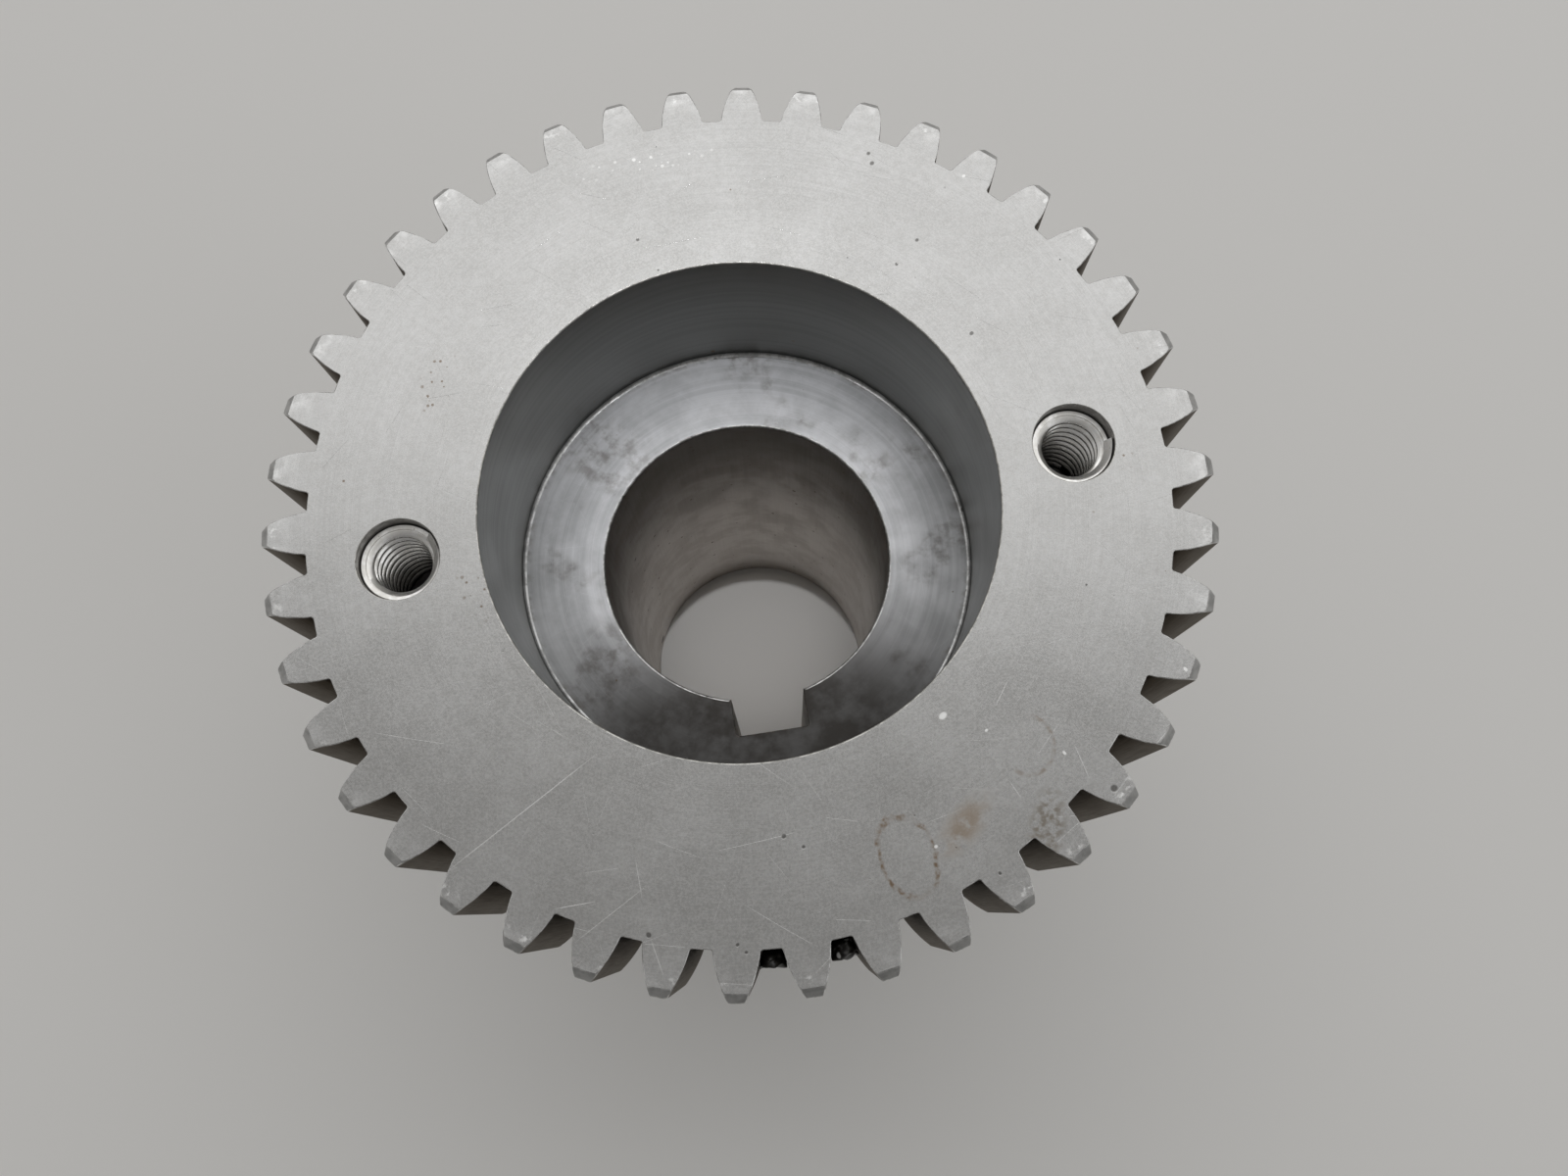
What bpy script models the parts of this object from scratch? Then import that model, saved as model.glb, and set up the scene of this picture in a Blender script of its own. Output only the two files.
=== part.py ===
"""Spur gear of module 2.5 with 42 teeth, on a long keyed hub sleeve.

Frame: metres, +Z up along the gear's axis, origin at the centre of the hub's lower end face.
The keyway faces -Y, and the toothed end is on top.
"""

import math

import bmesh
import bpy
from mathutils import Matrix, Vector

INCH = 0.0254
FIT_GAP = 0.0003            # clearance kept between neighbouring pieces

# Teeth: standard 20 degree involute.
MODULE = 0.0025
TOOTH_COUNT = 42
PRESSURE_ANGLE = math.radians(20.0)
ADDENDUM = 1.0 * MODULE
DEDENDUM = 1.157 * MODULE
BACKLASH = 0.00006          # taken off each tooth's thickness at the pitch circle
ROOT_FILLET = 0.0003
PITCH_RADIUS = 0.5 * MODULE * TOOTH_COUNT
TIP_RADIUS = PITCH_RADIUS + ADDENDUM
ROOT_RADIUS = PITCH_RADIUS - DEDENDUM
BASE_RADIUS = PITCH_RADIUS * math.cos(PRESSURE_ANGLE)
TOOTH_PITCH = math.tau / TOOTH_COUNT
KEYWAY_ANGLE = math.radians(-90.0)   # one tooth is centred over the keyway

# Heights along the axis, from the hub's lower end.
TOTAL_HEIGHT = 0.100
FACE_WIDTH = 1.0 * INCH
RECESS_DEPTH = 1.0 * INCH
COLLAR_HEIGHT = 0.8 * INCH           # plain collar of the gear below its teeth
TEETH_BOTTOM = TOTAL_HEIGHT - FACE_WIDTH
COLLAR_BOTTOM = TEETH_BOTTOM - COLLAR_HEIGHT
SLEEVE_TOP = TOTAL_HEIGHT - RECESS_DEPTH
SHOULDER_TOP = COLLAR_BOTTOM - FIT_GAP

# Radii of the gear ring and its hub sleeve.
SEAT_RADIUS = 0.030                  # bore of the gear ring, also the wall of its recess
COLLAR_RADIUS = 0.047
HUB_RADIUS = 0.037
SHAFT_RADIUS = 0.75 * INCH
KEY_WIDTH = 0.375 * INCH
KEY_FLOOR = 0.919 * INCH             # keyway floor, measured from the axis

# Edge breaks.
TIP_CHAMFER_RADIAL = 0.0011
TIP_CHAMFER_AXIAL = 0.0010
RIM_CHAMFER = 0.0003
BORE_CHAMFER = 0.0003
HUB_CHAMFER = 0.0010

# Two threaded puller holes (5/16-18) and their inserts.
HOLE_CIRCLE_RADIUS = 0.0393
HOLE_LINE_ANGLE = math.radians(1.4)  # line through both holes, from +X
HOLE_RADIUS = 0.1875 * INCH
HOLE_DEPTH = 0.0205
DRILL_POINT = 0.0025
THREAD_RADIUS = 0.00335
THREAD_MOUTH = 0.0004
INSERT_TOP = TOTAL_HEIGHT - 0.0012
INSERT_LENGTH = 0.0160

# Facets round each turned piece.
GEAR_STEPS = 3 * TOOTH_COUNT
SLEEVE_STEPS = 96
HOLE_STEPS = 32
FLANK_STEPS = 5
FILLET_STEPS = 3
MERGE_DISTANCE = 0.00001
CUT_MARGIN = 0.002


def clear_scene():
    """Remove every object so that the script starts from nothing."""
    for item in list(bpy.data.objects):
        bpy.data.objects.remove(item, do_unlink=True)


def new_collection(name):
    """Make a collection linked to the scene."""
    collection = bpy.data.collections.new(name)
    bpy.context.scene.collection.children.link(collection)
    return collection


def metal(name, colour, roughness):
    """Make a bare metal material."""
    material = bpy.data.materials.new(name)
    material.use_nodes = True
    shader = material.node_tree.nodes["Principled BSDF"]
    shader.inputs["Base Color"].default_value = (*colour, 1.0)
    shader.inputs["Metallic"].default_value = 1.0
    shader.inputs["Roughness"].default_value = roughness
    return material


def polar(radius, angle):
    """A point in the XY plane."""
    return Vector((radius * math.cos(angle), radius * math.sin(angle), 0.0))


def involute(angle):
    """Involute function of a pressure angle."""
    return math.tan(angle) - angle


def half_space_angle(radius):
    """Half the angle that a tooth space spans at a radius."""
    half_tooth_at_pitch = (0.5 * math.pi * MODULE - BACKLASH) / (2.0 * PITCH_RADIUS)
    local_angle = math.acos(BASE_RADIUS / radius)
    half_tooth = half_tooth_at_pitch + involute(PRESSURE_ANGLE) - involute(local_angle)
    return 0.5 * TOOTH_PITCH - half_tooth


def fillet_points():
    """Right-hand corner between root land and flank, for a space centred on +X."""
    points = []
    for step in range(FILLET_STEPS + 1):
        turn = 0.5 * math.pi * step / FILLET_STEPS
        radius = ROOT_RADIUS + ROOT_FILLET * (1.0 - math.cos(turn))
        inset = ROOT_FILLET * (1.0 - math.sin(turn)) / ROOT_RADIUS
        points.append(polar(radius, half_space_angle(ROOT_RADIUS + ROOT_FILLET) - inset))
    return points


def tooth_space_outline():
    """Closed outline of the space between two teeth, centred on +X, root to beyond the tips."""
    outer = TIP_RADIUS + CUT_MARGIN
    first = ROOT_RADIUS + ROOT_FILLET
    flank = []
    for step in range(1, FLANK_STEPS + 1):
        radius = first + (TIP_RADIUS - first) * step / FLANK_STEPS
        flank.append(polar(radius, half_space_angle(radius)))
    outward = (flank[-1] - flank[-2]).normalized()
    flank.append(flank[-1] + outward * (outer - TIP_RADIUS))
    upper = fillet_points() + flank
    lower = [Vector((point.x, -point.y, 0.0)) for point in reversed(upper)]
    return upper + lower


def turned(name, profile, steps, collection):
    """Turn a profile of (radius, height) about the Z axis, closing it unless it ends on the axis."""
    mesh = bpy.data.meshes.new(name)
    body = bmesh.new()
    corners = [body.verts.new((radius, 0.0, height)) for radius, height in profile]
    ends = corners[1:] if profile[-1][0] == 0.0 else corners[1:] + corners[:1]
    for first, second in zip(corners, ends):
        body.edges.new((first, second))
    body.to_mesh(mesh)
    body.free()
    piece = bpy.data.objects.new(name, mesh)
    collection.objects.link(piece)
    screw = piece.modifiers.new("turn", "SCREW")
    screw.axis = "Z"
    screw.steps = steps
    screw.render_steps = steps
    screw.use_merge_vertices = True
    screw.merge_threshold = MERGE_DISTANCE
    screw.use_smooth_shade = False
    return piece


def as_mesh(piece, collection):
    """Replace an object with modifiers or a curve by its evaluated mesh."""
    bpy.context.view_layer.update()
    evaluated = piece.evaluated_get(bpy.context.evaluated_depsgraph_get())
    mesh = bpy.data.meshes.new_from_object(evaluated)
    name = piece.name
    matrix = piece.matrix_world.copy()
    bpy.data.objects.remove(piece, do_unlink=True)
    body = bmesh.new()
    body.from_mesh(mesh)
    bmesh.ops.remove_doubles(body, verts=body.verts, dist=MERGE_DISTANCE)
    bmesh.ops.recalc_face_normals(body, faces=body.faces)
    body.to_mesh(mesh)
    body.free()
    mesh.name = name
    solid = bpy.data.objects.new(name, mesh)
    solid.matrix_world = matrix
    collection.objects.link(solid)
    return solid


def hide_cutter(cutter):
    """Keep a cutter out of the model."""
    cutter.hide_render = True
    cutter.display_type = "WIRE"


def cut(piece, cutter, name):
    """Cut one object out of another."""
    hide_cutter(cutter)
    boolean = piece.modifiers.new(name, "BOOLEAN")
    boolean.operation = "DIFFERENCE"
    boolean.solver = "EXACT"
    boolean.object = cutter


def finish(piece, material, sharp_angle=30.0):
    """Give a piece its material and smooth its round faces."""
    piece.data.materials.clear()
    piece.data.materials.append(material)
    piece.data.shade_smooth()
    piece.data.set_sharp_from_angle(angle=math.radians(sharp_angle))


def tooth_space_cutter(collection):
    """All the spaces between the teeth, as prisms that run past both faces of the teeth."""
    outline = tooth_space_outline()
    bottom = TEETH_BOTTOM - CUT_MARGIN
    height = FACE_WIDTH + 2.0 * CUT_MARGIN
    body = bmesh.new()
    for index in range(TOOTH_COUNT):
        spin = Matrix.Rotation(KEYWAY_ANGLE + (index + 0.5) * TOOTH_PITCH, 4, "Z")
        lift = Matrix.Translation((0.0, 0.0, bottom))
        corners = [body.verts.new(lift @ spin @ point) for point in outline]
        face = body.faces.new(corners)
        grown = bmesh.ops.extrude_face_region(body, geom=[face])
        raised = [item for item in grown["geom"] if isinstance(item, bmesh.types.BMVert)]
        bmesh.ops.translate(body, verts=raised, vec=(0.0, 0.0, height))
    bmesh.ops.recalc_face_normals(body, faces=body.faces)
    mesh = bpy.data.meshes.new("tooth_spaces")
    body.to_mesh(mesh)
    body.free()
    cutter = bpy.data.objects.new("tooth_spaces", mesh)
    collection.objects.link(cutter)
    return cutter


def hole_centre(index):
    """Centre of one of the two puller holes."""
    return polar(HOLE_CIRCLE_RADIUS, HOLE_LINE_ANGLE + index * math.pi)


def drill_profile():
    """Half section of the drill that makes a puller hole, from its top down."""
    floor = TOTAL_HEIGHT - HOLE_DEPTH
    return [
        (0.0, TOTAL_HEIGHT + CUT_MARGIN),
        (HOLE_RADIUS, TOTAL_HEIGHT + CUT_MARGIN),
        (HOLE_RADIUS, floor),
        (0.0, floor - DRILL_POINT),
    ]


def gear_blank_profile():
    """Half section of the gear ring before its teeth are cut, outer side from the top down."""
    tip_inner = TIP_RADIUS - TIP_CHAMFER_RADIAL
    return [
        (SEAT_RADIUS + RIM_CHAMFER, TOTAL_HEIGHT),
        (tip_inner, TOTAL_HEIGHT),
        (TIP_RADIUS, TOTAL_HEIGHT - TIP_CHAMFER_AXIAL),
        (TIP_RADIUS, TEETH_BOTTOM + TIP_CHAMFER_AXIAL),
        (tip_inner, TEETH_BOTTOM),
        (COLLAR_RADIUS, TEETH_BOTTOM),
        (COLLAR_RADIUS, COLLAR_BOTTOM + HUB_CHAMFER),
        (COLLAR_RADIUS - HUB_CHAMFER, COLLAR_BOTTOM),
        (SEAT_RADIUS + HUB_CHAMFER, COLLAR_BOTTOM),
        (SEAT_RADIUS, COLLAR_BOTTOM + HUB_CHAMFER),
        (SEAT_RADIUS, TOTAL_HEIGHT - RIM_CHAMFER),
    ]


def make_gear_ring(parts, cutters):
    """The toothed ring with its collar, its recess and the two puller holes."""
    ring = turned("gear_ring", gear_blank_profile(), GEAR_STEPS, parts)
    ring.rotation_euler.z = KEYWAY_ANGLE + 0.5 * math.tau / GEAR_STEPS
    ring = as_mesh(ring, parts)
    cut(ring, tooth_space_cutter(cutters), "tooth spaces")
    for index in range(2):
        drill = turned(f"puller_hole_drill_{index + 1}", drill_profile(), HOLE_STEPS, cutters)
        drill = as_mesh(drill, cutters)
        drill.location = hole_centre(index)
        cut(ring, drill, f"puller hole {index + 1}")
    finish(ring, metal("ground_steel", (0.46, 0.45, 0.44), 0.42))
    return ring


def sleeve_profile():
    """Half section of the hub sleeve, outer side from the top down."""
    spigot = SEAT_RADIUS - FIT_GAP
    return [
        (SHAFT_RADIUS + BORE_CHAMFER, SLEEVE_TOP),
        (spigot - BORE_CHAMFER, SLEEVE_TOP),
        (spigot, SLEEVE_TOP - BORE_CHAMFER),
        (spigot, SHOULDER_TOP),
        (HUB_RADIUS - HUB_CHAMFER, SHOULDER_TOP),
        (HUB_RADIUS, SHOULDER_TOP - HUB_CHAMFER),
        (HUB_RADIUS, HUB_CHAMFER),
        (HUB_RADIUS - HUB_CHAMFER, 0.0),
        (SHAFT_RADIUS + BORE_CHAMFER, 0.0),
        (SHAFT_RADIUS, BORE_CHAMFER),
        (SHAFT_RADIUS, SLEEVE_TOP - BORE_CHAMFER),
    ]


def keyway_cutter(collection):
    """A bar that runs past both ends of the bore and cuts the keyway."""
    length = SLEEVE_TOP + 2.0 * CUT_MARGIN
    reach = KEY_FLOOR - 0.5 * SHAFT_RADIUS
    body = bmesh.new()
    bmesh.ops.create_cube(body, size=1.0)
    bmesh.ops.scale(body, vec=(KEY_WIDTH, reach, length), verts=body.verts)
    mesh = bpy.data.meshes.new("keyway_broach")
    body.to_mesh(mesh)
    body.free()
    broach = bpy.data.objects.new("keyway_broach", mesh)
    broach.location = (0.0, -(KEY_FLOOR - 0.5 * reach), 0.5 * SLEEVE_TOP)
    collection.objects.link(broach)
    return broach


def make_hub_sleeve(parts, cutters):
    """The long hub sleeve that is pressed into the ring and carries the shaft and its key."""
    sleeve = as_mesh(turned("hub_sleeve", sleeve_profile(), SLEEVE_STEPS, parts), parts)
    cut(sleeve, keyway_cutter(cutters), "keyway")
    finish(sleeve, metal("turned_steel", (0.36, 0.37, 0.38), 0.38))
    return sleeve


def insert_profile():
    """Half section of a thread insert, outer side from the top down."""
    outer = HOLE_RADIUS - FIT_GAP
    bottom = INSERT_TOP - INSERT_LENGTH
    return [
        (THREAD_RADIUS + THREAD_MOUTH, INSERT_TOP),
        (outer, INSERT_TOP),
        (outer, bottom),
        (THREAD_RADIUS + THREAD_MOUTH, bottom),
        (THREAD_RADIUS, bottom + THREAD_MOUTH),
        (THREAD_RADIUS, INSERT_TOP - THREAD_MOUTH),
    ]


def make_thread_inserts(parts):
    """The bright threaded inserts in the two puller holes."""
    material = metal("bright_steel", (0.72, 0.71, 0.69), 0.2)
    for index in range(2):
        name = f"thread_insert_{index + 1}"
        insert = as_mesh(turned(name, insert_profile(), HOLE_STEPS, parts), parts)
        insert.location = hole_centre(index)
        finish(insert, material)


def main():
    """Build the gear."""
    clear_scene()
    parts = new_collection("spur_gear")
    cutters = new_collection("cutters")
    make_gear_ring(parts, cutters)
    make_hub_sleeve(parts, cutters)
    make_thread_inserts(parts)
    bpy.context.view_layer.update()


main()
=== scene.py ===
"""Looks of the spur gear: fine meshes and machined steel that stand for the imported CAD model.

Metres, in the CAD model's frame: +Z up the gear's axis, the hub standing on z = 0, the keyway towards -Y.
"""

import math

import bmesh
import bpy
from mathutils import Matrix, Vector, noise


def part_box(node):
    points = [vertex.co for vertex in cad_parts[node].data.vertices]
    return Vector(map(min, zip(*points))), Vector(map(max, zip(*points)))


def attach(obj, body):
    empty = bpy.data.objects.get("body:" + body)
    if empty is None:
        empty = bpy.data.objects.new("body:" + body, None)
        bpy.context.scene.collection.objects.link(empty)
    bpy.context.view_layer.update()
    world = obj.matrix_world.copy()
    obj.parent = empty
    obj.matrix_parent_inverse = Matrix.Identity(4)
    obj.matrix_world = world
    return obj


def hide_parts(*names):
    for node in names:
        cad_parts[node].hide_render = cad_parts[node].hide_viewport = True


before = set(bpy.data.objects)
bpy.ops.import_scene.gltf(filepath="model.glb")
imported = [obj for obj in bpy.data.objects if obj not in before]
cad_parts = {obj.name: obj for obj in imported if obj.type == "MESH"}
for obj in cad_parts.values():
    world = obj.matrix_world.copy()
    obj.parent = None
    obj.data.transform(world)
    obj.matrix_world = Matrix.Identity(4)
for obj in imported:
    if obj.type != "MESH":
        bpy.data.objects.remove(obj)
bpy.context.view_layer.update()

MM = 0.001
INCH = 0.0254

# Teeth: standard 20 degree involute, one tooth centred over the keyway.
MODULE = 2.5 * MM
TOOTH_COUNT = 42
PRESSURE_ANGLE = math.radians(20.0)
DEDENDUM = 1.157 * MODULE
BACKLASH = 0.06 * MM
ROOT_FILLET = 0.3 * MM
PITCH_RADIUS = 0.5 * MODULE * TOOTH_COUNT
TIP_RADIUS = PITCH_RADIUS + MODULE
ROOT_RADIUS = PITCH_RADIUS - DEDENDUM
BASE_RADIUS = PITCH_RADIUS * math.cos(PRESSURE_ANGLE)
TOOTH_PITCH = math.tau / TOOTH_COUNT
KEYWAY_ANGLE = -0.5 * math.pi
TIP_CHAMFER_START = TIP_RADIUS - 1.1 * MM
TIP_CHAMFER_SLOPE = 1.0 / 1.1
TIP_CORNER = 0.15 * MM
TOOTH_EDGE = 0.10 * MM
TOOTH_EDGE_WANDER = 0.05 * MM

# Heights and radii of the ring and its hub sleeve.
FACE_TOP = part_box("gear_ring")[1].z
RING_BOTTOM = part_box("gear_ring")[0].z
SLEEVE_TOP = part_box("hub_sleeve")[1].z
HUB_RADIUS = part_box("hub_sleeve")[1].x
TEETH_BOTTOM = FACE_TOP - 1.0 * INCH
SHOULDER_TOP = RING_BOTTOM - 0.3 * MM
RECESS_RADIUS = 30.0 * MM
SPIGOT_RADIUS = 29.95 * MM
COLLAR_RADIUS = 47.0 * MM
COLLAR_FILLET = 0.8 * MM
SHAFT_RADIUS = 0.75 * INCH
KEY_HALF_WIDTH = 0.1875 * INCH
KEY_FLOOR = 0.919 * INCH
KEY_CORNER = 0.4 * MM
RIM_CHAMFER = 0.2 * MM
BEAD = 0.45 * MM
HUB_CHAMFER = 1.0 * MM
BORE_EDGE = 0.28 * MM
KEY_EDGE = 0.09 * MM

# Lumps of black grease in the two tooth gaps nearest the keyway: size outwards, height of the middle,
# half height, clearance from the steel, and the side and the shape seed of each lump.
GREASE_REACH = 2.1 * MM
GREASE_MIDDLE = FACE_TOP - 3.6 * MM
GREASE_HALF_HEIGHT = 2.4 * MM
GREASE_CLEARANCE = 0.03 * MM
GREASE_LUMPS = ((-1.0, 0.0), (1.0, 5.3))

# Puller holes with coil inserts for 5/16-18 screws.
HOLE_RADIUS = 0.1875 * INCH
HOLE_EDGE = 0.10 * MM
HOLE_DEPTH = 20.5 * MM
DRILL_POINT = 2.5 * MM
DRILL_TIP = 0.01 * MM
THREAD_PITCH = INCH / 18.0
THREAD_CREST = 3.265 * MM
THREAD_ROOT = 3.97 * MM
COIL_RADIUS = 4.66 * MM
COIL_START_DEPTH = 0.45 * MM
COUNTERSINK_DEPTH = 2.1 * MM
COUNTERSINK_SLOPE = 0.82
COIL_STARTS = (math.radians(1.5), math.radians(36.5))

CIRCLE_STEPS = 360
HOLE_STEPS = 96
COIL_STEPS = 64
EDGE_STEPS = 3
CORNER_STEPS = 4
ARC_STEPS = 6
FLANK_STEPS = 8
FILLET_STEPS = 5
WELD = 0.0005 * MM
SHARP_ANGLE = math.radians(40.0)


# ------------ mesh helpers

def polar(radius, angle):
    """A point in the XY plane."""
    return Vector((radius * math.cos(angle), radius * math.sin(angle)))


def circle(radius, height, steps=CIRCLE_STEPS, centre=(0.0, 0.0)):
    """Points around a level circle."""
    points = []
    for index in range(steps):
        at = polar(radius, math.tau * index / steps)
        points.append((centre[0] + at.x, centre[1] + at.y, height))
    return points


def bridge(body, rings, material):
    """Skin of quads through a row of rings that have the same number of points."""
    loops = [[body.verts.new(point) for point in ring] for ring in rings]
    for upper, lower in zip(loops, loops[1:]):
        for index in range(len(upper)):
            after = (index + 1) % len(upper)
            face = body.faces.new((upper[index], upper[after], lower[after], lower[index]))
            face.material_index = material


def turned(body, profile, material, steps=CIRCLE_STEPS, centre=(0.0, 0.0)):
    """Surface of a profile of (radius, height) points turned about a vertical axis."""
    bridge(body, [circle(radius, height, steps, centre) for radius, height in profile], material)


def fill(body, loops, material):
    """Flat face between closed loops of points."""
    edges = []
    for loop in loops:
        corners = [body.verts.new(point) for point in loop]
        edges += [body.edges.new(pair) for pair in zip(corners, corners[1:] + corners[:1])]
    made = bmesh.ops.triangle_fill(body, edges=edges, use_beauty=True, use_dissolve=False, normal=(0, 0, 1))
    for item in made["geom"]:
        if isinstance(item, bmesh.types.BMFace):
            item.material_index = material


def arc_profile(centre, radius, start, end, steps):
    """Points of an arc in a profile, angles in degrees from +radius towards +height."""
    points = []
    for index in range(steps + 1):
        angle = math.radians(start + (end - start) * index / steps)
        points.append((centre[0] + radius * math.cos(angle), centre[1] + radius * math.sin(angle)))
    return points


def with_normals(points, side):
    """Pairs of outline point and normal; side is 1 where the metal is on the left of the outline."""
    pairs = []
    for index, point in enumerate(points):
        along = points[(index + 1) % len(points)] - points[index - 1]
        pairs.append((point, side * Vector((along.y, -along.x)).normalized()))
    return pairs


def edge_rings(outline, breaks, plane, side, drop):
    """Rings that round the edge between a flat end face and the wall of an outline.

    side is 1 for an upper end and -1 for a lower end; drop gives how far the face falls at a radius.
    """
    rings = []
    for step in range(EDGE_STEPS + 1):
        turn = 0.5 * math.pi * step / EDGE_STEPS
        ring = []
        for (point, normal), size in zip(outline, breaks):
            at = point - normal * size * (1.0 - math.sin(turn))
            fall = drop(at.length) + size * (1.0 - math.cos(turn))
            ring.append((at.x, at.y, plane - side * fall))
        rings.append(ring)
    return rings


def make_piece(name, body, materials, node, place=(0.0, 0.0, 0.0)):
    """Weld a mesh, shade it and let it stand for a CAD node."""
    bmesh.ops.remove_doubles(body, verts=body.verts, dist=WELD)
    bmesh.ops.dissolve_degenerate(body, edges=body.edges, dist=0.1 * WELD)
    bmesh.ops.recalc_face_normals(body, faces=body.faces)
    for edge in body.edges:
        kinds = {face.material_index for face in edge.link_faces}
        edge.smooth = len(kinds) == 1 and edge.calc_face_angle(0.0) < SHARP_ANGLE
    for face in body.faces:
        face.smooth = True
    mesh = bpy.data.meshes.new(name)
    body.to_mesh(mesh)
    body.free()
    for material in materials:
        mesh.materials.append(material)
    piece = bpy.data.objects.new(name, mesh)
    piece.location = place
    bpy.context.scene.collection.objects.link(piece)
    weighted = piece.modifiers.new("even shading", "WEIGHTED_NORMAL")
    weighted.keep_sharp = True
    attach(piece, "root")
    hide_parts(node)
    return piece


# ------------ gear ring

# Material slots of the ring.
FACE, BRIGHT_EDGE, FLANK, WALL, SIDE, DRILLED, RIM, BEVEL, GREASE = range(9)


def involute(angle):
    """Involute function of a pressure angle."""
    return math.tan(angle) - angle


def half_tooth(radius):
    """Half the angle that a tooth spans at a radius."""
    at_pitch = (0.5 * math.pi * MODULE - BACKLASH) / (2.0 * PITCH_RADIUS)
    return at_pitch + involute(PRESSURE_ANGLE) - involute(math.acos(BASE_RADIUS / radius))


def half_tooth_outline():
    """One side of a tooth centred on +X, from the middle of its tip to the middle of the next root."""
    corner_angle = half_tooth(TIP_RADIUS)
    tip_end = corner_angle - TIP_CORNER / TIP_RADIUS
    points = [polar(TIP_RADIUS, tip_end * share) for share in (0.0, 0.5)]
    corner = polar(TIP_RADIUS, corner_angle)
    before = polar(TIP_RADIUS, tip_end)
    flank_top = TIP_RADIUS - TIP_CORNER
    after = polar(flank_top, half_tooth(flank_top))
    for share in (0.0, 0.5, 1.0):
        first = before.lerp(corner, share)
        points.append(first.lerp(corner.lerp(after, share), share))
    flank_foot = ROOT_RADIUS + ROOT_FILLET
    for step in range(1, FLANK_STEPS + 1):
        radius = flank_top + (flank_foot - flank_top) * step / FLANK_STEPS
        points.append(polar(radius, half_tooth(radius)))
    foot_angle = half_tooth(flank_foot)
    for step in range(1, FILLET_STEPS + 1):
        turn = 0.5 * math.pi * step / FILLET_STEPS
        radius = flank_foot - ROOT_FILLET * math.sin(turn)
        points.append(polar(radius, foot_angle + ROOT_FILLET * (1.0 - math.cos(turn)) / ROOT_RADIUS))
    last = foot_angle + ROOT_FILLET / ROOT_RADIUS
    points.append(polar(ROOT_RADIUS, 0.5 * (last + 0.5 * TOOTH_PITCH)))
    return points


def gear_outline():
    """Outline of all the teeth, anticlockwise."""
    half = half_tooth_outline()
    root = polar(ROOT_RADIUS, 0.5 * TOOTH_PITCH)
    mirrored = [Vector((point.x, -point.y)) for point in reversed(half[1:])]
    tooth = mirrored + half + [root]
    points = []
    for index in range(TOOTH_COUNT):
        spin = Matrix.Rotation(KEYWAY_ANGLE + index * TOOTH_PITCH, 2)
        points += [spin @ point for point in tooth]
    return points


def tip_drop(radius):
    """How far the bevel at the tooth tips falls below the end face."""
    return max(0.0, radius - TIP_CHAMFER_START) * TIP_CHAMFER_SLOPE


def flat_limit(ring, plane):
    """A ring's points drawn in to where the bevel at the tooth tips starts."""
    points = []
    for x, y, _ in ring:
        radius = math.hypot(x, y)
        share = min(1.0, TIP_CHAMFER_START / radius)
        points.append((x * share, y * share, plane))
    return points


def uneven_breaks(outline):
    """Edge break at each outline point, wandering a little as a hand-filed edge does."""
    breaks = []
    for point, _ in outline:
        wander = noise.noise(Vector((point.x, point.y, 0.0)) / (1.7 * MM))
        breaks.append(TOOTH_EDGE + TOOTH_EDGE_WANDER * wander)
    return breaks


def hole_centre(number):
    """Axis of a puller hole, from its insert's place in the CAD model."""
    low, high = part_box(f"thread_insert_{number}")
    return 0.5 * (low.x + high.x), 0.5 * (low.y + high.y)


def puller_hole(body, centre, wall):
    """Edge, wall and drilled bottom of one blind hole."""
    floor = FACE_TOP - HOLE_DEPTH
    edge = arc_profile((HOLE_RADIUS + HOLE_EDGE, FACE_TOP - HOLE_EDGE), HOLE_EDGE, 90.0, 180.0, EDGE_STEPS)
    turned(body, edge, RIM, HOLE_STEPS, centre)
    turned(body, [edge[-1], (HOLE_RADIUS, floor), (DRILL_TIP, floor - DRILL_POINT)], wall, HOLE_STEPS, centre)
    fill(body, [circle(DRILL_TIP, floor - DRILL_POINT, HOLE_STEPS, centre)], wall)


def grease_lump(body, side, seed):
    """Lump of grease that fills the root of a tooth gap from flank to flank, clear of the steel."""
    made = bmesh.ops.create_icosphere(body, subdivisions=4, radius=1.0)
    middle = KEYWAY_ANGLE + 0.5 * side * TOOTH_PITCH
    for vert in made["verts"]:
        outwards, across, up = vert.co
        wander = 1.0 + 0.35 * noise.noise(1.7 * vert.co + Vector((seed, seed, 0.0)))
        larger = max(abs(outwards), abs(across), 0.001)
        squarer = 0.3 + 0.7 * max(1.0, math.hypot(outwards, across) / larger)
        radius = ROOT_RADIUS + GREASE_CLEARANCE + 0.5 * GREASE_REACH * wander * (1.0 + squarer * outwards)
        room = 0.5 * TOOTH_PITCH - half_tooth(radius) - GREASE_CLEARANCE / radius
        at = polar(radius, middle + room * squarer * across)
        vert.co = (at.x, at.y, GREASE_MIDDLE + GREASE_HALF_HEIGHT * wander * up)
    for face in {face for vert in made["verts"] for face in vert.link_faces}:
        face.material_index = GREASE


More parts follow.
